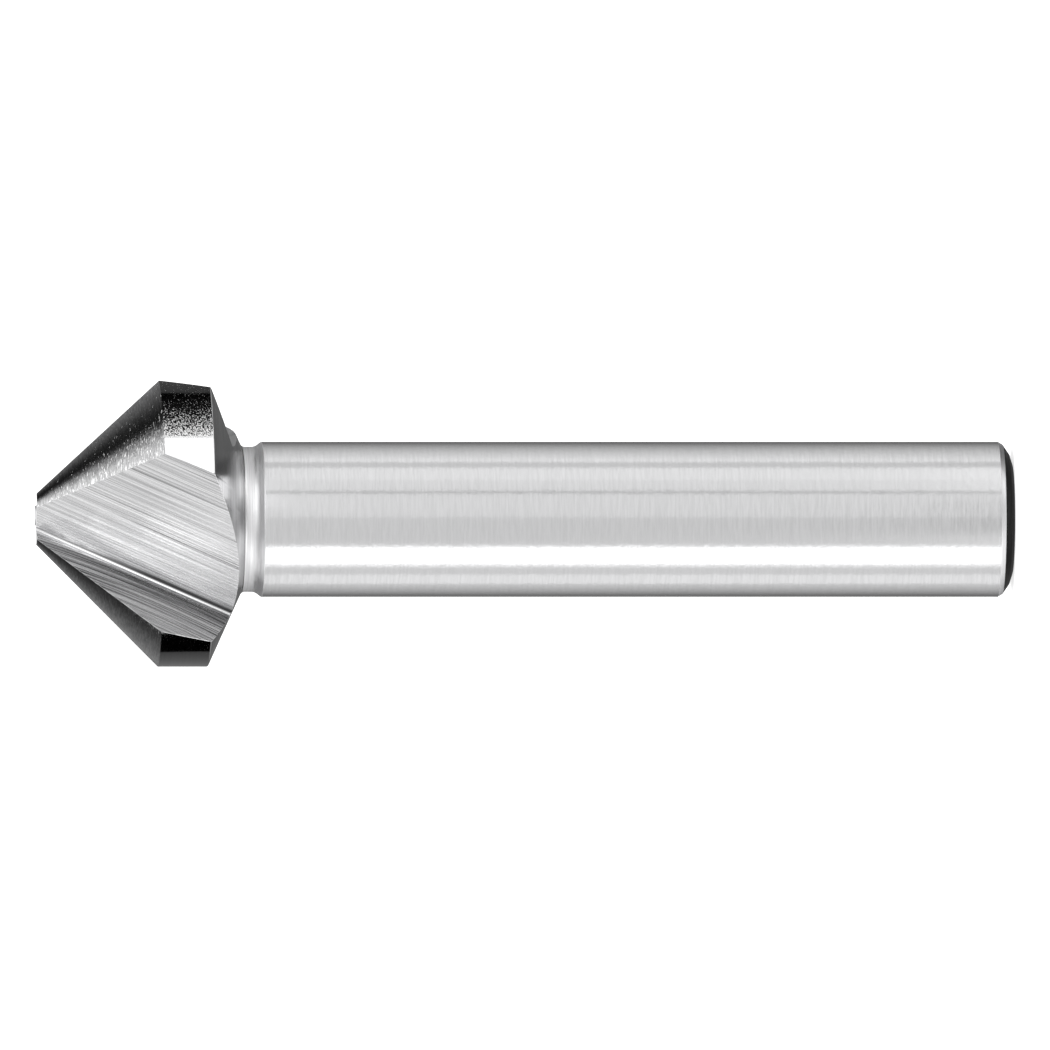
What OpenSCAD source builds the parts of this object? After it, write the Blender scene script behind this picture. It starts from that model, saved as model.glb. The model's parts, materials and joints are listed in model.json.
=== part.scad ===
// Countersink bit: a 90 degree conical countersink for a drill chuck, ground from one bar of
// high speed steel. Three V-shaped flutes leave three teeth whose cutting edges run from the
// small flat at the tip to the full diameter. The tool stands on the flat end of its shank,
// tip up, with its axis on +Z and the origin in the middle of that end face.

/* [Shank] */
// Length of the whole tool, from the shank's end face to the flat at the tip
overall_l = 63; // [56:0.5:80]
// Diameter of the plain round shank
shank_d = 10; // [9.7:0.05:10.6]
// Radius of the rounding at the shank's end, round the flat that the tool stands on
end_round = 1.6; // [0.8:0.1:2.4]

/* [Neck] */
// Diameter at the bottom of the relief groove between head and shank
neck_d = 9.36; // [8.4:0.02:9.6]
// Length of the groove's straight bottom
neck_l = 0.85; // [0.4:0.05:3]
// Length of the slope from the groove up to the shank
neck_slope_l = 0.4; // [0.2:0.05:1.5]

/* [Head] */
// Largest diameter of the head, over the lands of the teeth
head_d = 19; // [17:0.1:20.5]
// Included angle of the cutting cone
cone_angle = 90; // [82:1:100]
// Diameter of the flat at the tip
tip_flat_d = 3.5; // [2.6:0.1:4]
// Length of the cylindrical lands behind the cutting cone
land_l = 3.3; // [2:0.05:5]
// Slope of the cone behind the lands, measured from the axis
back_slope = 65.5; // [55:0.5:75]

/* [Teeth] */
// Polar angle of the first flute's root about the axis
flute_turn = 75.5; // [60:0.5:85]
// Tilt of the flute's root line away from the axis
root_tilt = 24.6; // [23:0.1:26]
// Height above the tip flat at which the root lines meet the axis
root_rise = 1.45; // [1.1:0.05:1.7]
// Radius ground at the bottom of the V
root_r = 0.25; // [0.1:0.01:0.4]
// Included angle between the two walls of a flute
flute_angle = 75.5; // [70:0.5:80]
// Lean of the rake face, from the axial plane of the root towards the flute
rake_lean = 45; // [42:0.5:52]
// Sideways offset of the ground relief cone that lets each tooth fall away behind its edge
relief_offset = 0.16; // [0.05:0.01:0.4]
// Direction of that offset, ahead of the cutting edge
relief_turn = 45; // [30:1:60]

/* [Hidden] */
$fn = 96;

// The three teeth are alike and evenly spaced
teeth = 3;
pitch = 360 / teeth;

// The end's rounding is turned as a few short cones
round_steps = 3;

// The head's stations, measured down the axis from the tip flat
cone_l = (head_d - tip_flat_d) / 2 / tan(cone_angle / 2);
back_start = cone_l + land_l;
back_l = (head_d - neck_d) / 2 / tan(back_slope);
neck_start = back_start + back_l;
neck_end = neck_start + neck_l;
shank_start = neck_end + neck_slope_l;

// Angle about the axis, from the plane of a flute's root, at which one of its walls comes out
// at the corner of cone and land; lean is the wall's own angle in the wheel's section
function wall_turn(lean) =
    let (
        across = sin(lean) * cos(root_tilt) * head_d / 2,
        along = cos(lean) * head_d / 2,
        sunk = sin(lean) * sin(root_tilt) * (cone_l + root_rise)
    )
    acos(sunk / norm([across, along])) - atan2(along, across);

edge_turn = wall_turn(rake_lean);
heel_turn = wall_turn(rake_lean + flute_angle);
mid_turn = (edge_turn + heel_turn) / 2;

// The grinding wheel's walls and its path, long enough to leave the head everywhere
wheel_reach = 2 * head_d;
path_before = head_d / 2;
path_after = neck_start / cos(root_tilt) + head_d / 2;

// How far the relief grinding runs past the cone at either end
relief_over = 1;

// Height above the end face of a station that is measured from the tip
function up(from_tip) = overall_l - from_tip;

// Bar turned to the tool's outline, with a plain cylinder where the teeth will be
module turned_blank() {
    rotate_extrude()
        polygon([
            [0, 0],
            for (turn = [0 : 90 / round_steps : 90])
                [shank_d / 2 - end_round * (1 - sin(turn)), end_round * (1 - cos(turn))],
            [shank_d / 2, up(shank_start)],
            [neck_d / 2, up(neck_end)],
            [neck_d / 2, up(neck_start)],
            [head_d / 2, up(back_start)],
            [head_d / 2, overall_l],
            [0, overall_l]
        ]);
}

// Section of the V-shaped wheel: the rake wall on one side, the back wall on the other
module wheel_section() {
    rake_dir = [cos(rake_lean), sin(rake_lean)];
    back_dir = [cos(rake_lean + flute_angle), sin(rake_lean + flute_angle)];
    middle = [cos(rake_lean + flute_angle / 2), sin(rake_lean + flute_angle / 2)];
    outer = wheel_reach / cos(flute_angle / 2);
    flank = root_r / tan(flute_angle / 2);
    depth = root_r / sin(flute_angle / 2);
    polygon([
        flank * rake_dir,
        wheel_reach * rake_dir,
        outer * middle,
        wheel_reach * back_dir,
        flank * back_dir
    ]);
    translate(depth * middle)
        circle(r = root_r);
}

// Space that one pass of the wheel leaves, along a root line that climbs out of the head
module flute_cut() {
    rotate([0, 0, flute_turn])
        translate([0, 0, overall_l + root_rise])
            rotate([0, -root_tilt, 0])
                translate([0, 0, -path_after])
                    linear_extrude(height = path_after + path_before)
                        wheel_section();
}

// Everything outside one tooth's cone, whose axis stands off to the side of the tool's own,
// so that the surface starts on the cutting edge and falls away behind it
module relief_cut() {
    toward = flute_turn + edge_turn + relief_turn;
    foot = cone_l + relief_over;
    slope = tan(cone_angle / 2);
    foot_r = tip_flat_d / 2 + foot * slope - relief_offset * cos(relief_turn);
    top_r = foot_r - (foot + relief_over) * slope;
    difference() {
        translate([0, 0, up(foot)])
            linear_extrude(height = foot + relief_over)
                polygon([
                    [0, 0],
                    for (turn = [-pitch, -pitch / 2, 0])
                        head_d * [cos(flute_turn + mid_turn + turn), sin(flute_turn + mid_turn + turn)]
                ]);
        translate([relief_offset * cos(toward), relief_offset * sin(toward), up(foot)])
            cylinder(h = foot + relief_over, r1 = foot_r, r2 = top_r);
    }
}

module countersink_bit() {
    color("silver")
        difference() {
            turned_blank();
            for (i = [0 : teeth - 1])
                rotate([0, 0, i * pitch]) {
                    flute_cut();
                    relief_cut();
                }
        }
}

countersink_bit();
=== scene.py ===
# %% [markdown]
# # A countersink bit with three ground flutes
# The real tool is one bar of high speed steel. A lathe turns its outline, the bar is hardened,
# and grinding wheels then cut the flutes and the cutting cone and polish the shank. This
# notebook makes it in that order, because every surface then has the lines of the wheel that
# made it, and those lines are most of what the eye reads as ground steel.
#
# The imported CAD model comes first. It is the fixed frame: it says how big the tool is and
# where it stands, and the piece made here takes the place of its one solid.

# %% Load the frame
import json
import math

import bmesh
import bpy
from mathutils import Matrix, Vector

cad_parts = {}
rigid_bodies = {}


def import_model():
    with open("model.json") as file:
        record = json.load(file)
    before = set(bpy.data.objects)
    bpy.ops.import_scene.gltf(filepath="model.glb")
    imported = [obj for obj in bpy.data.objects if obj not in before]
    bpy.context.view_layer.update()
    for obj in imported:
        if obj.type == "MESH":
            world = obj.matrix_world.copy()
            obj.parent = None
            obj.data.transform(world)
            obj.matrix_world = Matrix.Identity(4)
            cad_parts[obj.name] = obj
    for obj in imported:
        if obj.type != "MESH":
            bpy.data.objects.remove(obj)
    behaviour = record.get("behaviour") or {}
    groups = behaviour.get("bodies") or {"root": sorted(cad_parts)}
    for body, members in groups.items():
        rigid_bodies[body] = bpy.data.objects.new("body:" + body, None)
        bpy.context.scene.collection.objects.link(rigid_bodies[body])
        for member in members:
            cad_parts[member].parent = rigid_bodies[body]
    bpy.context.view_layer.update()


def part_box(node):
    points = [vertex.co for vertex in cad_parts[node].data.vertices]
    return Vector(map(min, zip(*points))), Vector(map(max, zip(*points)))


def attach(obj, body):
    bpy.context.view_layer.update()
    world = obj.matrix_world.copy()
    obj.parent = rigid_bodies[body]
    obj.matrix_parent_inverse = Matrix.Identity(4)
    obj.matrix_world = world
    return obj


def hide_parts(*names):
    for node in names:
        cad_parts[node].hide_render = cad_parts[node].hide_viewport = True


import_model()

mm = 0.001
solid_low, solid_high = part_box("countersink_bit")
tool_l = solid_high.z - solid_low.z
print(f"CAD box, mm: {[round(v / mm, 2) for v in (*solid_low, *solid_high)]}")

# %% [markdown]
# ## Sizes
# A drawing of such a tool gives the outline as radius and height, and the flutes as the path
# of a V-shaped wheel. These are the sizes of the CAD source, written once and named, so that
# the dressed piece and the solid in the frame stay the same shape.

# %% Name the sizes of the turned outline
shank_r = 5 * mm
neck_r, neck_l, neck_slope_l = 4.68 * mm, 0.85 * mm, 0.4 * mm
head_r, land_l, tip_r = 9.5 * mm, 3.3 * mm, 1.75 * mm
cone_slope, back_slope = math.radians(45), math.radians(65.5)

corner_z = tool_l - (head_r - tip_r) / math.tan(cone_slope)
back_z = corner_z - land_l
neck_top_z = back_z - (head_r - neck_r) / math.tan(back_slope)
neck_low_z = neck_top_z - neck_l
shank_top_z = neck_low_z - neck_slope_l
print(f"shank to {shank_top_z / mm:.2f}, lands {back_z / mm:.2f} to {corner_z / mm:.2f} mm")

# %% Name the sizes of the wheel's V and its path
teeth = 3
flute_turn = math.radians(75.5)
root_tilt, root_rise, root_r = math.radians(24.6), 1.45 * mm, 0.25 * mm
rake_lean, flute_angle = math.radians(45), math.radians(75.5)
relief_offset, relief_turn = 0.16 * mm, math.radians(45)
pitch = 2 * math.pi / teeth


def wall_turn(lean):
    """Angle about the axis, from the flute's root, at which one wall leaves the head"""
    across = math.sin(lean) * math.cos(root_tilt) * head_r
    along = math.cos(lean) * head_r
    sunk = math.sin(lean) * math.sin(root_tilt) * (tool_l - corner_z + root_rise)
    return math.acos(sunk / math.hypot(across, along)) - math.atan2(along, across)


edge_turn = wall_turn(rake_lean)
heel_turn = wall_turn(rake_lean + flute_angle)
tooth_turn = pitch - (heel_turn - edge_turn)
edge_degrees, heel_degrees = math.degrees(edge_turn), math.degrees(heel_turn)
print(f"edge {edge_degrees:.1f} and heel {heel_degrees:.1f} degrees past the root")

# %% [markdown]
# ## The camera
# The tool stands on its shank, but the photograph shows it lying down with the tip to the
# left, so the camera is rolled a quarter turn: its right is the world's down. The rings of the
# photograph are equally narrow at both ends of the tool, so its lines of sight are as good as
# parallel. An orthographic camera draws that, and its scale is simply the width of the frame.
# It looks from 3.2 degrees on the tip's side.

# %% Place the camera
picture_px, px_per_mm = 1050, 15.52
tip_px, axis_px = 36.0, 519.3
camera_yaw, camera_distance = math.radians(3.2), 1.0

toward = Vector((0, -math.cos(camera_yaw), math.sin(camera_yaw)))
right = Vector((0, -math.sin(camera_yaw), -math.cos(camera_yaw)))
up = Vector((1, 0, 0))
centre_px = picture_px / 2
aim = (
    Vector((0, 0, tool_l))
    + right * (centre_px - tip_px) / px_per_mm * mm
    - up * (centre_px - axis_px) / px_per_mm * mm
)
camera = bpy.data.objects.new("camera", bpy.data.cameras.new("camera"))
bpy.context.scene.collection.objects.link(camera)
bpy.context.scene.camera = camera
turn = Matrix((right, up, toward)).transposed().to_4x4()
camera.matrix_world = Matrix.Translation(aim + toward * camera_distance) @ turn
camera.data.type = "ORTHO"
camera.data.ortho_scale = picture_px / px_per_mm * mm
print(f"frame {camera.data.ortho_scale / mm:.1f} mm wide, aimed at {[round(v / mm, 2) for v in aim]}")

# %% [markdown]
# ## The turned bar
# A lathe makes the outline by turning it about one axis, and spin is the same move: a chain
# of points goes once round Z. Ring edges are clean loops there, so the bevel operator can
# break them as a stone does, before any flute cuts them. The rounding at the shank's end is
# three short cones. The lower two are painted near black, a painted dark reflection of what
# lies below the end.
#
# Each face gets its finish from its height. Where a limit stands a margin off the ring, the
# ring's bevel belongs to the surface whose reflections it continues.

# %% Spin the bar
finishes = ["shank", "satin", "turned", "end", "land", "tip", "relief", "wall", "rake", "root"]
turned_steps = 240
same_point = 1e-7
flat_within = math.radians(0.05)
end_break, edge_break, groove_break = 0.04 * mm, 0.06 * mm, 0.2 * mm
shank_margin, back_margin, tip_margin = 0.05 * mm, 0.1 * mm, 0.01 * mm

# painted dark reflection: below this height the end's chamfers are coloured near black
painted_dark_end_z = 0.64 * mm
end_outline = [
    (shank_r - 1.5 * mm, 0),
    (shank_r - 0.8 * mm, 0.22 * mm),
    (shank_r - 0.18 * mm, painted_dark_end_z),
    (shank_r, 0.94 * mm),
]


def ring_edges(shape, radius, height):
    """Edges of the ring at one radius and height"""
    near = 1e-6

    def on_ring(vert):
        r = math.hypot(vert.co.x, vert.co.y)
        return abs(r - radius) < near and abs(vert.co.z - height) < near

    return [e for e in shape.edges if all(on_ring(v) for v in e.verts)]


def turned_zone(height):
    """The finish of the bar at one height, from the dark end up to the tip's flat"""
    zones = [
        (painted_dark_end_z, "end"),
        (end_outline[-1][1], "satin"),
        (shank_top_z - shank_margin, "shank"),
        (neck_top_z, "satin"),
        (back_z + back_margin, "turned"),
        (tool_l - tip_margin, "land"),
    ]
    return next((zone for top, zone in zones if height < top), "tip")


def turned_bar():
    """The bar as it leaves the lathe, with a plain cylinder where the teeth will be"""
    outline = [
        (0, 0),
        *end_outline,
        (shank_r, shank_top_z),
        (neck_r, neck_low_z),
        (neck_r, neck_top_z),
        (head_r, back_z),
        (head_r, tool_l),
        (0, tool_l),
    ]
    shape = bmesh.new()
    points = [shape.verts.new((r, 0, z)) for r, z in outline]
    chain = [shape.edges.new(pair) for pair in zip(points, points[1:])]
    bmesh.ops.spin(
        shape, geom=points + chain, cent=(0, 0, 0), axis=(0, 0, 1),
        angle=2 * math.pi, steps=turned_steps, use_merge=True,
    )
    bmesh.ops.remove_doubles(shape, verts=shape.verts, dist=same_point)
    bmesh.ops.dissolve_limit(
        shape, angle_limit=flat_within, verts=shape.verts,
        edges=[e for e in shape.edges if any(v.co.xy.length < same_point for v in e.verts)],
    )
    for radius, height, width, steps in (
        *((radius, height, end_break, 3) for radius, height in end_outline[:-1]),
        (shank_r, shank_top_z, edge_break, 4),
        (neck_r, neck_low_z, groove_break, 4),
        (neck_r, neck_top_z, groove_break, 4),
        (head_r, back_z, edge_break, 2),
    ):
        bmesh.ops.bevel(
            shape, geom=ring_edges(shape, radius, height), affect="EDGES", offset=width,
            segments=steps, profile=0.5, material=-1,
        )
    bmesh.ops.recalc_face_normals(shape, faces=shape.faces)
    for face in shape.faces:
        face.material_index = finishes.index(turned_zone(face.calc_center_median().z))
    return shape


bar = turned_bar()
print(f"turned bar: {len(bar.faces)} faces, {bar.calc_volume() / mm ** 3:.0f} mm3")

# %% [markdown]
# ## The flutes
# A wheel dressed to a V runs through the head three times. The V is drawn flat, its corner is
# rounded with one bevel, and the section is pushed along the wheel's path. Its UV map is
# laid on while the wheel is still straight, as if the V were unrolled: U runs across the
# grinding lines from the middle of the rounded corner and V along them, both in millimetres.
# The boolean cut carries that map onto the walls it leaves.

# %% Make the wheel
wheel_reach = 4 * head_r
corner_steps = 10
same_lean = 0.01
path_before = head_r
path_after = (tool_l - neck_top_z) / math.cos(root_tilt) + head_r
back_lean = rake_lean + flute_angle
middle_lean = rake_lean + flute_angle / 2
corner_flank = root_r / math.tan(flute_angle / 2)
corner_half = root_r * (math.pi - flute_angle) / 2


def spoke(lean, length=1.0):
    """Point of the wheel's section at an angle from the root's own plane"""
    return Vector((math.cos(lean), math.sin(lean), 0)) * length


def across_v(point):
    """Distance along the V's surface from the middle of its corner, negative on the rake side"""
    radius, lean = point.xy.length, math.atan2(point.y, point.x)
    side = 1 if lean > middle_lean else -1
    if radius > corner_flank:
        return side * (corner_half + radius - corner_flank)
    centre = spoke(middle_lean, root_r / math.sin(flute_angle / 2)).xy
    out = point.xy - centre
    return side * root_r * out.angle(-centre, 0)


def lay_grinding_map(shape):
    """UV in mm: U across the wheel's lines, V along them"""
    lines = shape.loops.layers.uv.new("grinding")
    for face in shape.faces:
        for loop in face.loops:
            loop[lines].uv = (across_v(loop.vert.co) / mm, loop.vert.co.z / mm)


def flute_wheel():
    """The space that one pass of the wheel sweeps, along Z with the V's corner on the axis"""
    shape = bmesh.new()
    section = [
        Vector((0, 0, 0)),
        spoke(rake_lean, wheel_reach),
        spoke(middle_lean, wheel_reach / math.cos(flute_angle / 2)),
        spoke(back_lean, wheel_reach),
    ]
    start = shape.faces.new([shape.verts.new(p - Vector((0, 0, path_after))) for p in section])
    swept = bmesh.ops.extrude_face_region(shape, geom=[start])["geom"]
    moved = [v for v in swept if isinstance(v, bmesh.types.BMVert)]
    bmesh.ops.translate(shape, verts=moved, vec=(0, 0, path_after + path_before))
    corner = [e for e in shape.edges if all(v.co.xy.length < same_point for v in e.verts)]
    bmesh.ops.bevel(
        shape, geom=corner, affect="EDGES", offset=corner_flank, segments=corner_steps,
        profile=0.5, material=-1,
    )
    bmesh.ops.recalc_face_normals(shape, faces=shape.faces)
    for face in shape.faces:
        centre = face.calc_center_median()
        lean = math.atan2(centre.y, centre.x)
        if centre.xy.length < 2 * root_r:
            zone = "root"
        elif abs(lean - rake_lean) < same_lean:
            zone = "rake"
        else:
            zone = "wall"
        face.material_index = finishes.index(zone)
    lay_grinding_map(shape)
    return shape


wheel = flute_wheel()
print(f"wheel: {len(wheel.faces)} faces, corner rounded to {root_r / mm} mm")

# %% [markdown]
# ## The relief
# Behind its cutting edge each tooth has to fall away from the hole, or it would only rub. The
# grinder gets that by setting the cone's axis a little to the side for each tooth. A ring
# with a conical hole, spun through a third of a turn about that shifted axis, is what the
# relief wheel takes off.

# %% Make the relief ring
relief_steps = 96


def relief_ring():
    """What relief grinding takes off one tooth, ahead of turning it into place"""
    over = 1 * mm
    foot_z = corner_z - over
    top_z = tool_l + over
    slope = math.tan(cone_slope)
    foot_r = tip_r + (tool_l - foot_z) * slope - relief_offset * math.cos(relief_turn)
    top_r = foot_r - (top_z - foot_z) * slope
    ring_r = 2 * head_r
    aside = spoke(edge_turn + relief_turn, relief_offset)
    middle_turn = (edge_turn + heel_turn) / 2
    shape = bmesh.new()
    section = [(foot_r, foot_z), (top_r, top_z), (ring_r, top_z), (ring_r, foot_z)]
    start = shape.faces.new([shape.verts.new((r, 0, z)) for r, z in section])
    to_start = Matrix.Rotation(middle_turn - pitch, 3, "Z")
    bmesh.ops.rotate(shape, verts=shape.verts, cent=(0, 0, 0), matrix=to_start)
    bmesh.ops.translate(shape, verts=shape.verts, vec=aside)
    bmesh.ops.spin(
        shape, geom=[start, *start.edges, *start.verts], cent=aside, axis=(0, 0, 1),
        angle=pitch, steps=relief_steps,
    )
    bmesh.ops.remove_doubles(shape, verts=shape.verts, dist=same_point)
    bmesh.ops.recalc_face_normals(shape, faces=shape.faces)
    for face in shape.faces:
        face.material_index = finishes.index("relief")
    shape.loops.layers.uv.new("grinding")
    return shape


ring = relief_ring()
print(f"relief ring: {len(ring.faces)} faces")

# %% [markdown]
# ## Grinding the teeth
# Each cut is a boolean difference, one after another, as on the machine. The exact solver is
# used because the walls run out through cones at a shallow angle.

# %% Cut the bar
def as_object(shape, name):
    """A mesh object of a bmesh, with one material slot for each finish"""
    mesh = bpy.data.meshes.new(name)
    shape.to_mesh(mesh)
    for finish in finishes:
        mesh.materials.append(bpy.data.materials.get(finish) or bpy.data.materials.new(finish))
    obj = bpy.data.objects.new(name, mesh)
    bpy.context.scene.collection.objects.link(obj)
    return obj


def apply_modifier(obj):
    """Puts the object's modified mesh in place of its own"""
    bpy.context.view_layer.update()
    seen = obj.evaluated_get(bpy.context.evaluated_depsgraph_get())
    mesh = bpy.data.meshes.new_from_object(seen)
    obj.modifiers.clear()
    obj.data = mesh


def grind(blank, cutter):
    """Takes the cutter's space off the blank and removes the cutter"""
    cut = blank.modifiers.new("cut", "BOOLEAN")
    cut.operation, cut.solver, cut.object = "DIFFERENCE", "EXACT", cutter
    apply_modifier(blank)
    bpy.data.objects.remove(cutter)


def in_place(shape, name, matrix):
    """The cutter as an object, moved to where it meets the bar"""
    obj = as_object(shape, name)
    obj.data.transform(matrix)
    return obj


bar.loops.layers.uv.new("grinding")
tool = as_object(bar, "ground_tool")
wheel_path = Matrix.Translation((0, 0, tool_l + root_rise)) @ Matrix.Rotation(-root_tilt, 4, "Y")
for tooth in range(teeth):
    turned = Matrix.Rotation(flute_turn + tooth * pitch, 4, "Z")
    grind(tool, in_place(wheel, "wheel", turned @ wheel_path))
    grind(tool, in_place(ring, "relief", turned))
print(f"ground tool: {len(tool.data.polygons)} faces")

# %% [markdown]
# ## Edges
# A cutting edge has no rounding, yet it carries a burr a few hundredths of a millimetre wide
# that shines as a hair line, and so does the rim where a flute runs out behind. A narrow
# bevel along those edges gives the line a real surface. Points that lie much closer together
# than the bevel is wide are merged first. The strip's own borders stay sharp, because a smooth
# border would bend the shading of the large faces beside it. So does the border between land
# and back cone.

# %% Break the edges
edge_width = 0.02 * mm
too_close = 0.4 * edge_width
sliver = 0.001 * mm
sharp_from = math.radians(25)


def both_finishes(edge):
    """The finishes of the faces on either side"""
    return {finishes[face.material_index] for face in edge.link_faces}


def carries_burr(edge):
    """True for the sharp edges that touch a rake face or where a flute runs out behind"""
    if not edge.is_manifold or edge.calc_face_angle(0) < sharp_from:
        return False
    sides = both_finishes(edge)
    return "rake" in sides or ("turned" in sides and not sides <= {"turned", "land"})


shape = bmesh.new()
shape.from_mesh(tool.data)
bmesh.ops.remove_doubles(shape, verts=shape.verts, dist=too_close)
bmesh.ops.dissolve_degenerate(shape, edges=shape.edges, dist=sliver)
burred = [e for e in shape.edges if carries_burr(e)]
strips = bmesh.ops.bevel(
    shape, geom=burred, affect="EDGES", offset=edge_width, segments=2, profile=0.5,
    material=-1, clamp_overlap=False,
)["faces"]
for edge in shape.edges:
    edge.smooth = sum(face in strips for face in edge.link_faces) != 1
bmesh.ops.remove_doubles(shape, verts=shape.verts, dist=sliver)
bmesh.ops.recalc_face_normals(shape, faces=shape.faces)
for face in shape.faces:
    face.smooth = True
for edge in shape.edges:
    bends = edge.calc_face_angle(0) < sharp_from and both_finishes(edge) != {"land", "turned"}
    edge.smooth = edge.smooth and bends
print(
    f"{len(burred)} edges broken, {len(shape.faces)} faces, "
    f"{sum(not e.is_manifold for e in shape.edges)} open edges, {shape.calc_volume() / mm ** 3:.1f} mm3"
)
shape.to_mesh(tool.data)
shape.free()

# %% Let the large faces set the shading
even = tool.modifiers.new("even", "WEIGHTED_NORMAL")
even.mode, even.weight, even.keep_sharp = "FACE_AREA", 50, True
apply_modifier(tool)
print(f"dressed tool: {len(tool.data.polygons)} faces")

# %% [markdown]
# ## Finishes
# All of the tool is one bare steel, so its surfaces differ only in what the wheel left on
# them. Grinding lines are noise that is drawn out long in one direction. They are used three
# times: a little in the colour, a little in the roughness, and as height for a bump. The
# stretched highlight comes from the shader's anisotropy, whose tangent follows the lines.
# The lines are one node group, because every finish uses them, each at its own scale.
#
# A few helpers keep the node trees short. Each takes a number or colour for a constant, or
# another node's output for a link.

# %% Helpers for nodes
def add(tree, kind, inputs=None, **settings):
    """A node with its own settings, and its input values by index or socket name"""
    node = tree.nodes.new(kind)
    for key, value in settings.items():
        setattr(node, key, value)
    for socket, value in (inputs or {}).items():
        node.inputs[socket].default_value = value
    return node


def feed(tree, socket, value):
    """Links a node's output to the socket, or sets the socket to a number or a colour"""
    if isinstance(value, bpy.types.NodeSocket):
        tree.links.new(value, socket)
    else:
        socket.default_value = value


def math_node(tree, operation, *operands):
    """Output of a Math node"""
    node = add(tree, "ShaderNodeMath", operation=operation)
    for socket, operand in zip(node.inputs, operands):
        feed(tree, socket, operand)
    return node.outputs[0]


def map_range(tree, value, start, end, low, high, kind="LINEAR"):
    """Output of a Map Range node that goes from low to high as the value goes from start to end"""
    node = add(tree, "ShaderNodeMapRange", interpolation_type=kind)
    for socket, given in zip(node.inputs, (value, start, end, low, high)):
        feed(tree, socket, given)
    return node.outputs[0]


def mix_colours(tree, factor, first, second, blend="MIX"):
    """Output of a Mix node for colours, whose sockets are found by number"""
    node = add(tree, "ShaderNodeMix", data_type="RGBA", blend_type=blend)
    for index, given in ((0, factor), (6, first), (7, second)):
        feed(tree, node.inputs[index], given)
    return node.outputs[2]


def source_of(socket):
    """The output that is linked to a socket"""
    return socket.links[0].from_socket


def stretched(tree, vector, sizes):
    """The vector, with each of its axes multiplied by its own number or output"""
    scale = add(tree, "ShaderNodeCombineXYZ")
    for socket, size in zip(scale.inputs, sizes):
        feed(tree, socket, size)
    node = add(tree, "ShaderNodeVectorMath", operation="MULTIPLY")
    tree.links.new(vector, node.inputs[0])
    tree.links.new(scale.outputs[0], node.inputs[1])
    return node.outputs[0]


def noise(tree, vector, scale, detail, roughness=0.5):
    """Output of a Noise Texture node"""
    node = add(tree, "ShaderNodeTexNoise", {"Detail": detail, "Roughness": roughness})
    tree.links.new(vector, node.inputs["Vector"])
    feed(tree, node.inputs["Scale"], scale)
    return node.outputs["Fac"]


# %% [markdown]
# Noise whose X is multiplied a lot and whose Y and Z are divided looks like lines. Two sizes
# of it make fine lines and broad streaks, and the crests of a third are single scratches.
#
# Chips have pitted one tooth towards its heel. The pits are noise with a threshold, and the
# value that is added to the noise grows with the angle from the cutting edge, so that the
# spots get larger and denser up to the last angle.

# %% Build the node groups
scratch_from, scratch_full = 0.6, 0.7
most_wear, pit_from, pit_full = 0.26, 0.68, 0.76


def node_group(name, inputs, outputs):
    """An empty shader node group with its sockets"""
    group = bpy.data.node_groups.new(name, "ShaderNodeTree")
    for socket, kind, value in inputs:
        made = group.interface.new_socket(socket, in_out="INPUT", socket_type=kind)
        if value is not None:
            made.default_value = value
    for socket in outputs:
        group.interface.new_socket(socket, in_out="OUTPUT", socket_type="NodeSocketFloat")
    return group


def make_grinding_lines():
    """Noise drawn out into lines. X of the vector runs across them, Y and Z along, in mm."""
    group = node_group(
        "grinding_lines",
        [("Vector", "NodeSocketVector", None), ("Lines per mm", "NodeSocketFloat", 8.0),
         ("Line length", "NodeSocketFloat", 6.0), ("Grains per mm", "NodeSocketFloat", 3.0)],
        ["Fine", "Broad", "Scratches", "Grain"],
    )
    given, out = add(group, "NodeGroupInput"), add(group, "NodeGroupOutput")
    along = math_node(group, "DIVIDE", 1.0, given.outputs["Line length"])
    drawn = stretched(group, given.outputs["Vector"], (given.outputs["Lines per mm"], along, along))
    few = noise(group, drawn, scale=0.47, detail=1.0)
    made = {
        "Fine": noise(group, drawn, scale=1.0, detail=3.0, roughness=0.6),
        "Broad": noise(group, drawn, scale=0.35, detail=2.0, roughness=0.6),
        "Scratches": map_range(group, few, scratch_from, scratch_full, 0.0, 1.0, "SMOOTHSTEP"),
        "Grain": noise(group, given.outputs["Vector"], given.outputs["Grains per mm"], detail=3.0),
    }
    for name, output in made.items():
        group.links.new(output, out.inputs[name])
    return group


def make_heel_pits():
    """Spots on the most worn tooth that get denser from its cutting edge towards its heel"""
    group = node_group(
        "heel_pits",
        [("Position", "NodeSocketVector", None), ("Pits per mm", "NodeSocketFloat", 6.0),
         ("Pit length", "NodeSocketFloat", 1.0), ("First", "NodeSocketFloat", 0.0),
         ("Last", "NodeSocketFloat", tooth_turn)],
        ["Pits"],
    )
    given, out = add(group, "NodeGroupInput"), add(group, "NodeGroupOutput")
    place, first, last = (given.outputs[name] for name in ("Position", "First", "Last"))
    split = add(group, "ShaderNodeSeparateXYZ")
    group.links.new(place, split.inputs[0])
    polar = math_node(group, "ARCTAN2", split.outputs["Y"], split.outputs["X"])
    behind = math_node(group, "SUBTRACT", flute_turn + edge_turn - pitch, polar)
    behind = math_node(group, "FLOORED_MODULO", behind, 2 * math.pi)
    worn = map_range(group, behind, first, last, 0.0, most_wear)
    across = math_node(group, "DIVIDE", given.outputs["Pits per mm"], mm)
    along = math_node(group, "DIVIDE", across, given.outputs["Pit length"])
    spots = noise(group, stretched(group, place, (along, along, across)), scale=1.0, detail=1.0)
    denser = math_node(group, "ADD", spots, worn)
    pitted = map_range(group, denser, pit_from, pit_full, 0.0, 1.0, "SMOOTHSTEP")
    inside = math_node(group, "LESS_THAN", behind, last)
    group.links.new(math_node(group, "MULTIPLY", pitted, inside), out.inputs["Pits"])
    return group


grinding_lines = make_grinding_lines()
heel_pits = make_heel_pits()
print(f"node groups: {[group.name for group in bpy.data.node_groups]}")

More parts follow.
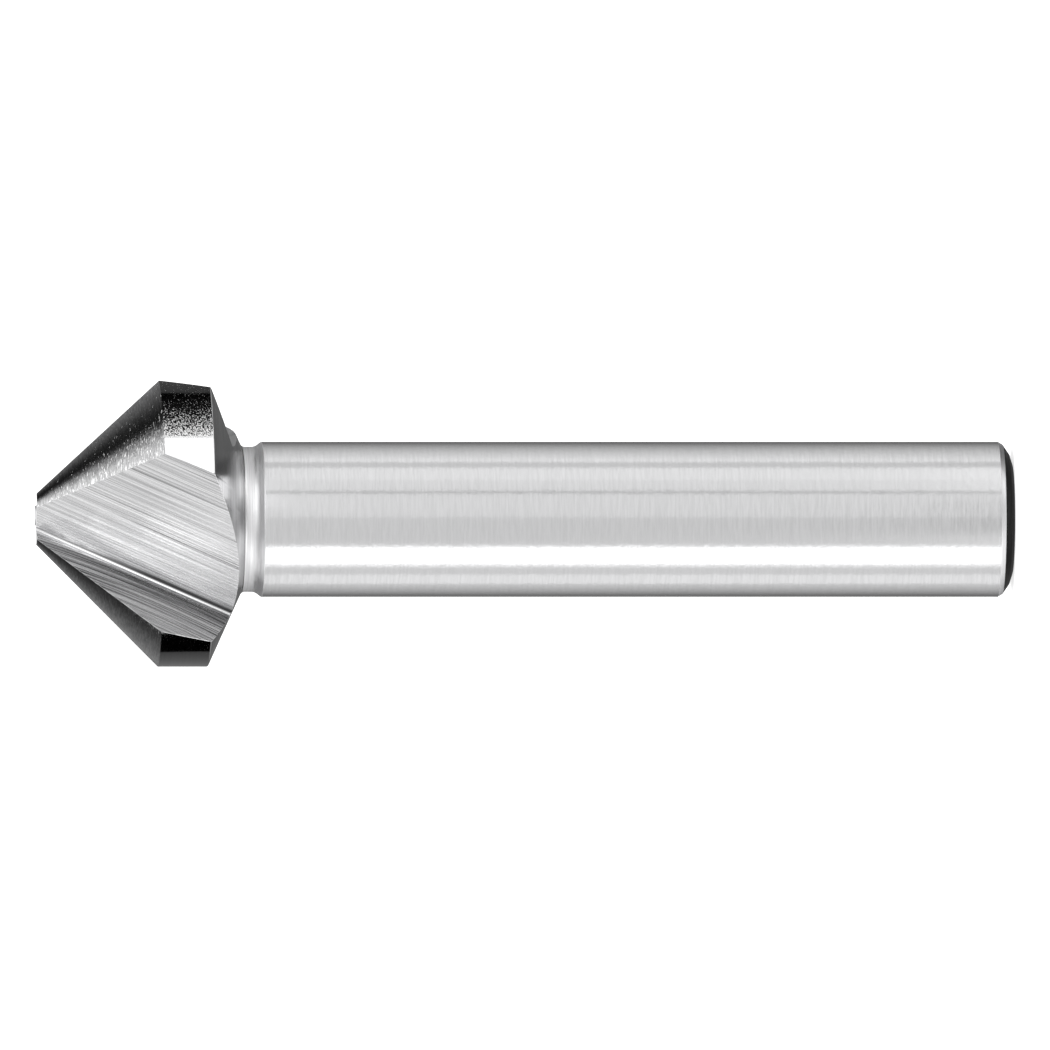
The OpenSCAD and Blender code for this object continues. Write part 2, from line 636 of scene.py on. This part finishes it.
# %% [markdown]
# Two kinds of lines are needed. On turned surfaces and on the relief cones they run round the
# axis, so Object coordinates are enough: height is the direction across them. The flutes'
# lines follow the wheel's path, which the UV map holds.

# %% Where the lines run
def lines_round_axis(tree):
    """Object position in mm, with the height first, and a tangent along the lines"""
    place = add(tree, "ShaderNodeTexCoord")
    in_mm = add(tree, "ShaderNodeVectorMath", operation="SCALE", inputs={"Scale": 1 / mm})
    tree.links.new(place.outputs["Object"], in_mm.inputs[0])
    split = add(tree, "ShaderNodeSeparateXYZ")
    join = add(tree, "ShaderNodeCombineXYZ")
    tree.links.new(in_mm.outputs[0], split.inputs[0])
    for source, target in (("Z", "X"), ("X", "Y"), ("Y", "Z")):
        tree.links.new(split.outputs[source], join.inputs[target])
    return join.outputs[0], add(tree, "ShaderNodeTangent", direction_type="RADIAL", axis="Z")


def lines_along_path(tree, bend, bend_from):
    """The flute's UV map in mm, its lines bent to an arc where asked, and its tangent"""
    split = add(tree, "ShaderNodeSeparateXYZ")
    tree.links.new(add(tree, "ShaderNodeUVMap", uv_map="grinding").outputs[0], split.inputs[0])
    from_middle = math_node(tree, "SUBTRACT", split.outputs["Y"], bend_from)
    arc = math_node(tree, "MULTIPLY", math_node(tree, "POWER", from_middle, 2.0), bend)
    join = add(tree, "ShaderNodeCombineXYZ")
    tree.links.new(math_node(tree, "ADD", split.outputs["X"], arc), join.inputs["X"])
    tree.links.new(split.outputs["Y"], join.inputs["Y"])
    tangent = add(tree, "ShaderNodeTangent", direction_type="UV_MAP", uv_map="grinding")
    return join.outputs[0], tangent


# %% [markdown]
# One function dresses every surface. Fine lines plus a share of the broad streaks lighten and
# darken the tone by the contrast, scratches are added to that, and the same lines are the
# bump's height. Noise mostly stays within 0.15 of its middle, 0.5, so that is the range that
# the shade is spread over. Each line is also a little duller or glossier than the next.

# %% Make a ground finish
noise_middle, noise_spread = 0.5, 0.15
noise_low, noise_high = 0.3, 0.7
dull_share, cool = 0.2, 1.01


def steel(finish, tone, rough, spread, per_mm, length, contrast, depth,
          scratches=0, grain=0, broad=0.4, turned=True, bend=0, bend_from=0):
    """One ground or turned surface of the tool. Depths of lines and grain are in mm."""
    material = bpy.data.materials[finish]
    material.use_nodes = True
    tree = material.node_tree
    shader = tree.nodes["Principled BSDF"]
    shader.inputs["Metallic"].default_value = 1
    shader.inputs["Anisotropic"].default_value = spread
    shader.inputs["Anisotropic Rotation"].default_value = 0.25 if turned else 0
    vector, tangent = lines_round_axis(tree) if turned else lines_along_path(tree, bend, bend_from)
    tree.links.new(tangent.outputs[0], shader.inputs["Tangent"])
    lines = add(tree, "ShaderNodeGroup", node_tree=grinding_lines)
    lines.inputs["Lines per mm"].default_value = per_mm
    lines.inputs["Line length"].default_value = length
    tree.links.new(vector, lines.inputs["Vector"])
    fine = lines.outputs["Fine"]
    both = math_node(tree, "MULTIPLY_ADD", lines.outputs["Broad"], broad, fine)

    centre = noise_middle * (1 + broad)
    darkest, lightest = centre - noise_spread, centre + noise_spread
    shade = map_range(tree, both, darkest, lightest, 1 - contrast, 1 + contrast)
    scratched = math_node(tree, "MULTIPLY", lines.outputs["Scratches"], scratches)
    factor = math_node(tree, "ADD", shade, scratched)
    colour = mix_colours(tree, 1.0, (tone, tone, cool * tone, 1), factor, "MULTIPLY")
    tree.links.new(colour, shader.inputs["Base Color"])

    dull, glossy = (1 + dull_share) * rough, (1 - dull_share) * rough
    roughness = map_range(tree, fine, noise_low, noise_high, dull, glossy)
    tree.links.new(roughness, shader.inputs["Roughness"])

    rough_lines = math_node(tree, "MULTIPLY", both, depth)
    grains = math_node(tree, "MULTIPLY", lines.outputs["Grain"], grain)
    bump = add(tree, "ShaderNodeBump", {"Strength": 1.0, "Distance": mm})
    tree.links.new(math_node(tree, "ADD", rough_lines, grains), bump.inputs["Height"])
    tree.links.new(bump.outputs[0], shader.inputs["Normal"])
    return material


# %% [markdown]
# Pits are laid over a finish that is already there. Each of the three chains that end in
# colour, roughness and height gets one more step before its end.

# %% Pit a finish
pit_dullness, pit_depth, pit_tone = 0.4, 0.002, 0.97


def pit_the_heel(material, per_mm, length, first, last):
    """Adds dull, pale, sunken spots between two turns behind the most worn cutting edge"""
    tree = material.node_tree
    shader = tree.nodes["Principled BSDF"]
    place = add(tree, "ShaderNodeTexCoord")
    group = add(tree, "ShaderNodeGroup", node_tree=heel_pits)
    group.inputs["Pits per mm"].default_value = per_mm
    group.inputs["Pit length"].default_value = length
    group.inputs["First"].default_value = math.radians(first)
    group.inputs["Last"].default_value = math.radians(last)
    tree.links.new(place.outputs["Object"], group.inputs["Position"])
    pits = group.outputs["Pits"]

    roughness = shader.inputs["Roughness"]
    dull = math_node(tree, "MULTIPLY", pits, pit_dullness)
    tree.links.new(math_node(tree, "ADD", source_of(roughness), dull), roughness)

    height = source_of(shader.inputs["Normal"]).node.inputs["Height"]
    sunken = math_node(tree, "MULTIPLY", pits, -pit_depth)
    tree.links.new(math_node(tree, "ADD", source_of(height), sunken), height)

    colour = shader.inputs["Base Color"]
    pale = (pit_tone, pit_tone, pit_tone, 1)
    tree.links.new(mix_colours(tree, pits, source_of(colour), pale), colour)


# %% [markdown]
# Inside a flute painted shade and painted highlight follow how far a point is from the V's corner.
# That is U of the map, so a colour ramp over U draws them, and it may set in along V.

# %% Paint shade and highlight across a flute's lines
def paint_shade_and_highlight_across(material, stops, reach, begin=None, full=None, along_lines=False):
    """Multiplies the colour by a ramp of painted shade or painted highlight, from 0 to reach mm across
    the lines, set in along V
    """
    tree = material.node_tree
    colour = tree.nodes["Principled BSDF"].inputs["Base Color"]
    split = add(tree, "ShaderNodeSeparateXYZ")
    if along_lines:
        lines = next(node for node in tree.nodes if node.type == "GROUP")
        tree.links.new(source_of(lines.inputs["Vector"]), split.inputs[0])
    else:
        tree.links.new(add(tree, "ShaderNodeUVMap", uv_map="grinding").outputs[0], split.inputs[0])
    ramp = add(tree, "ShaderNodeValToRGB")
    tree.links.new(math_node(tree, "DIVIDE", split.outputs["X"], reach), ramp.inputs[0])
    ramp.color_ramp.interpolation = "EASE"
    for place, level in stops:
        stop = ramp.color_ramp.elements.new(place)
        stop.color = (level, level, level, 1)
    for spare in (ramp.color_ramp.elements[-1], ramp.color_ramp.elements[0]):
        ramp.color_ramp.elements.remove(spare)
    share = 1.0
    if begin is not None:
        share = map_range(tree, split.outputs["Y"], full, begin, 1.0, 0.0, "SMOOTHSTEP")
    shaded = mix_colours(tree, share, source_of(colour), ramp.outputs[0], "MULTIPLY")
    tree.links.new(shaded, colour)


# %% [markdown]
# The shank is polished nearly smooth, with faint rings and a slight waviness that makes the
# borders of its reflections ragged. The groove is duller, and the cone behind the lands is as
# turned. The shank's end is painted near black, a painted dark reflection of what lies below it.

# %% Finish the turned surfaces
steel("shank", tone=0.74, rough=0.17, spread=0.4, per_mm=8, length=1.5, contrast=0.03,
      depth=0.0006, grain=0.007)
steel("satin", tone=0.86, rough=0.45, spread=0.0, per_mm=10, length=6, contrast=0.1,
      depth=0.001, grain=0.01)
steel("turned", tone=0.44, rough=0.16, spread=0.7, per_mm=9, length=12, contrast=0.15,
      depth=0.002)
# painted dark reflection: the end's near-black tone
steel("end", tone=0.016, rough=0.35, spread=0.3, per_mm=7, length=2, contrast=0.3,
      depth=0.002, grain=0.01)
steel("tip", tone=0.95, rough=0.9, spread=0.0, per_mm=8, length=4, contrast=0.03,
      depth=0.001)

# %% [markdown]
# The lands and the relief cones are almost mirrors. On the relief the wheel's lines are deep
# enough to draw each reflection out into a ragged fringe. One tooth has worked harder than
# the others: its land and relief are pitted, and the pits break the dark reflections up into
# specks.

# %% Finish the teeth
land = steel("land", tone=0.72, rough=0.08, spread=0.0, per_mm=10, length=6, contrast=0.03,
             depth=0.0005)
pit_the_heel(land, per_mm=13, length=1.2, first=16, last=36.9)
relief = steel("relief", tone=0.7, rough=0.08, spread=0.3, per_mm=11, length=0.8, contrast=0.2,
               depth=0.024)
pit_the_heel(relief, per_mm=18, length=7, first=22, last=72)

# %% [markdown]
# In the flute both walls are painted darker towards the root, as painted shade for the deep
# corner, and the back wall has a nearly black band of painted shade there that fades out up
# the flute. On the rake face the lines are arcs of the wheel's rim, and one pale line with a
# brighter strip beside it is a painted highlight.

# %% Finish the flutes
steel("wall", tone=0.8, rough=0.25, spread=0.7, per_mm=11, length=14, contrast=0.3,
      depth=0.001, scratches=-0.4, broad=0.0, turned=False)
steel("root", tone=0.74, rough=0.12, spread=0.5, per_mm=8, length=12, contrast=0.05,
      depth=0.001, turned=False)
# painted shade: walls and root darken towards the V's corner, nearly black in a band that fades along
# the flute
painted_root_shade = [(0.04, 1.0), (0.1, 0.12), (0.18, 0.13), (0.32, 0.55), (0.5, 0.86), (0.9, 1.0)]
for finish in ("wall", "root"):
    paint_shade_and_highlight_across(bpy.data.materials[finish], painted_root_shade, reach=1.2, begin=-3.0, full=-10.0)

rake = steel("rake", tone=0.74, rough=0.2, spread=0.7, per_mm=11, length=12, contrast=1.05,
             depth=0.012, scratches=1.6, broad=0.1, turned=False, bend=0.0125, bend_from=-10.8)
# painted shade: the rake gets darker towards the root
painted_rake_shade = [(0.03, 0.7), (0.2, 0.78), (0.5, 0.88), (1.0, 1.0)]
# painted highlight: a pale glint line on the rake and a brighter strip beyond it
painted_rake_highlight = [(0.79, 1.0), (0.815, 2.2), (0.84, 1.3), (1.0, 1.3)]
paint_shade_and_highlight_across(rake, painted_rake_shade, reach=-5.0)
paint_shade_and_highlight_across(rake, painted_rake_highlight, reach=-5.0, along_lines=True)

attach(tool, "root")
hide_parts("countersink_bit")
print(f"finishes: {', '.join(finishes)}")

# %% [markdown]
# ## The studio
# The photograph has a white background and no visible floor. The floor here is pale, the world
# is white, and both are a little stronger for rays from the camera and from shiny surfaces
# than for the light they throw, so the background is white and a soft shadow stays.

# %% World
def white_for_reflections(tree):
    """1 for rays that come from the camera or from a shiny or clear surface, else 0"""
    path = add(tree, "ShaderNodeLightPath")
    seen = math_node(tree, "MAXIMUM", path.outputs["Is Camera Ray"], path.outputs["Is Glossy Ray"])
    return math_node(tree, "MAXIMUM", seen, path.outputs["Is Transmission Ray"])


room_light, seen_light = 0.8, 1.0
world = bpy.data.worlds.new("studio")
bpy.context.scene.world = world
world.use_nodes = True
room = world.node_tree
sky = room.nodes["Background"]
sky.inputs["Color"].default_value = (1, 1, 1, 1)
strength = map_range(room, white_for_reflections(room), 0.0, 1.0, room_light, seen_light)
room.links.new(strength, sky.inputs["Strength"])

# %% Paper on the floor
floor_half, paper_tone, paper_lift = 6.0, 0.92, 0.7
floor_shape = bmesh.new()
bmesh.ops.create_grid(floor_shape, x_segments=1, y_segments=1, size=floor_half)
floor_mesh = bpy.data.meshes.new("floor")
floor_shape.to_mesh(floor_mesh)
floor = bpy.data.objects.new("floor", floor_mesh)
bpy.context.scene.collection.objects.link(floor)
paper = bpy.data.materials.new("white_paper")
paper.use_nodes = True
paper_shader = paper.node_tree.nodes["Principled BSDF"]
paper_shader.inputs["Base Color"].default_value = (paper_tone, paper_tone, paper_tone, 1)
paper_shader.inputs["Roughness"].default_value = 1
paper_shader.inputs["Specular IOR Level"].default_value = 0
paper_shader.inputs["Emission Color"].default_value = (1, 1, 1, 1)
lift = math_node(
    paper.node_tree, "MULTIPLY", white_for_reflections(paper.node_tree), paper_lift
)
paper.node_tree.links.new(lift, paper_shader.inputs["Emission Strength"])
floor_mesh.materials.append(paper)
floor.visible_glossy = False
print(f"floor {2 * floor_half:.0f} m square")

# %% [markdown]
# Polished steel shows nothing but its surroundings, so a product photographer stands white and
# black cards round it. These do the same: each is a strip bent round the tool, seen only in
# reflections, with its glow as a point attribute that may fade along the turn or upwards.

# %% Make a card
glow = bpy.data.materials.new("card")
glow.use_nodes = True
glow.node_tree.nodes.clear()
level = add(glow.node_tree, "ShaderNodeAttribute", attribute_name="glow")
shine = add(glow.node_tree, "ShaderNodeEmission")
card_out = add(glow.node_tree, "ShaderNodeOutputMaterial")
glow.node_tree.links.new(level.outputs["Fac"], shine.inputs["Strength"])
glow.node_tree.links.new(shine.outputs[0], card_out.inputs["Surface"])
step_turn, fewest_steps = 3, 4
slack = 0.01


def card(name, radius, heights, turns, start, end=None, top=None):
    """A curved card, with its glow at the start and end of its turn and at its top edge.
    Turns count in degrees from the camera's side towards +X, heights are in mm."""
    low, high = (h * mm for h in heights)
    first, angle = math.radians(turns[0]), math.radians(turns[1] - turns[0])
    shape = bmesh.new()
    ends = [shape.verts.new((0, -radius, z)) for z in (low, high)]
    side = shape.edges.new(ends)
    bmesh.ops.rotate(shape, verts=ends, cent=(0, 0, 0), matrix=Matrix.Rotation(first, 3, "Z"))
    steps = max(fewest_steps, int((turns[1] - turns[0]) / step_turn))
    bmesh.ops.spin(
        shape, geom=[side, *ends], cent=(0, 0, 0), axis=(0, 0, 1), angle=angle, steps=steps
    )
    mesh = bpy.data.meshes.new(name)
    shape.to_mesh(mesh)
    values = mesh.attributes.new("glow", "FLOAT", "POINT")
    last_glow = start if end is None else end
    for vert in mesh.vertices:
        from_first = math.atan2(vert.co.x, -vert.co.y) - first
        turned_by = (from_first + slack) % (2 * math.pi) - slack
        value = start + turned_by / angle * (last_glow - start)
        if top is not None and vert.co.z > (low + high) / 2:
            value = top
        values.data[vert.index].value = value
    mesh.materials.append(glow)
    obj = bpy.data.objects.new(name, mesh)
    bpy.context.scene.collection.objects.link(obj)
    obj.visible_camera = obj.visible_diffuse = obj.visible_transmission = False
    obj.visible_volume_scatter = obj.visible_shadow = False
    return obj


# %% [markdown]
# The far cards are taller than the tool and make the long stripes on the shank. A point of a
# cylinder that lies some angle away from the camera's side mirrors what stands at twice that
# angle, so each card's ends are the two borders of one stripe.

# %% Cards for the shank
far, tall = 120 * mm, (-200, 300)
card("front_reflector", far, tall, (-38, 3), 0.76)
card("front_upper", far, tall, (3, 60), 0.88, 0.92)
card("front_seam", far - 2 * mm, tall, (38.5, 41.5), 0.45)
card("upper_gap", far, tall, (82, 93), 0.72)
card("upper_fade", far, tall, (100, 150), 0.95, 0.22)
card("backdrop", far, tall, (150, 210), 0.18)
card("lower_fade", far, tall, (210, 250), 0.2, 0.78)
card("lower_gap", far, tall, (271, 285), 0.78)
card("lower_softbox", far, tall, (290, 319), 1.6)

# %% [markdown]
# The near cards stand at the height of the head, so that the shank hardly mirrors them. They
# darken the lands towards the heels, light the flute's root and shade its walls.

# %% Cards for the lands and the flute
near = 28 * mm
card("root_light", near, (51, 72), (-3, 5), 1.5)
card("upper_strip", near, (49, 60), (15, 38), 2.0)
card("upper_slope", near, (49.5, 60), (38, 57.5), 1.5)
card("upper_flag", near, (49.5, 58), (57.5, 101), 0.015, 0.0)
card("upper_back_flag", near, (49.5, 59), (101, 122), 0.045, 0.07)
card("lower_back", near, (49.5, 59), (185, 250), 0.27, 0.06)
card("lower_flag", near, (49.5, 59), (250, 275), 0.0)
card("wall_card", near, (60, 95), (251, 290), 0.8)
card("rake_flag", near, (54, 80), (300, 355), 0.42)

# %% [markdown]
# A relief cone leans at 45 degrees, so it mirrors what stands above and behind the tool, and
# the nearer a point is to the camera's side, the higher it looks. From the outline inwards
# it shows a weak glow, a dark band and, on the upper tooth alone, a bright fringe. The cards
# have that order from the bottom up.

# %% Cards for the relief cones
middle = 60 * mm
card("upper_glow", middle, (58, 98), (100, 180), 0.36, top=0.06)
card("lower_glow", middle, (58, 98), (180, 250), 0.27, top=0.04)
card("relief_fade", middle, (98, 110), (100, 250), 0.05, top=0.013)
card("lower_dark", middle, (110, 165), (180, 250), 0.013, top=0.03)
card("upper_dark", middle, (110, 124), (100, 180), 0.01, top=0.015)
card("upper_rise", middle, (124, 164), (100, 180), 0.015, top=0.85)
card("upper_top", middle, (164, 200), (100, 180), 0.85, top=1.0)

# %% [markdown]
# The cone behind the lands and the groove look down along the shank, where the low cards
# stand. The light cone at the shank's end looks steeply down, into a tube. These cards reach
# below the floor, which is left out of reflections and so doesn't cover them.

# %% Cards for the groove and the shank's end
below_r, below = far - 3 * mm, (-130, -15)
card("low_front", below_r, below, (-18, 28), 0.15)
card("low_right", below_r, below, (40, 85), 2.2)
card("low_right_back", below_r, below, (87, 150), 0.1)
card("low_left", below_r, below, (-60, -24), 2.0)
card("under_end", 30 * mm, (-220, -70), (-180, 180), 0.72)
cards = [obj for obj in bpy.data.objects if obj.active_material == glow]
print(f"{len(cards)} cards")

# %% [markdown]
# One large soft lamp overhead gives the shadow its direction. The standard view transform
# keeps white paper white.

# %% Lamp
lamp_side, lamp_power = 0.6, 4
lamp = bpy.data.objects.new("overhead", bpy.data.lights.new("overhead", "AREA"))
bpy.context.scene.collection.objects.link(lamp)
lamp.location = (0.25, -0.35, 0.9)
lamp.rotation_mode = "QUATERNION"
lamp.rotation_quaternion = lamp.location.to_track_quat("Z", "Y")
lamp.data.shape = "RECTANGLE"
lamp.data.size = lamp.data.size_y = lamp_side
lamp.data.energy = lamp_power
lamp.visible_camera = False

bpy.context.scene.view_settings.view_transform = "Standard"
print(f"lamp of {lamp_power} W, {lamp_side} m wide")
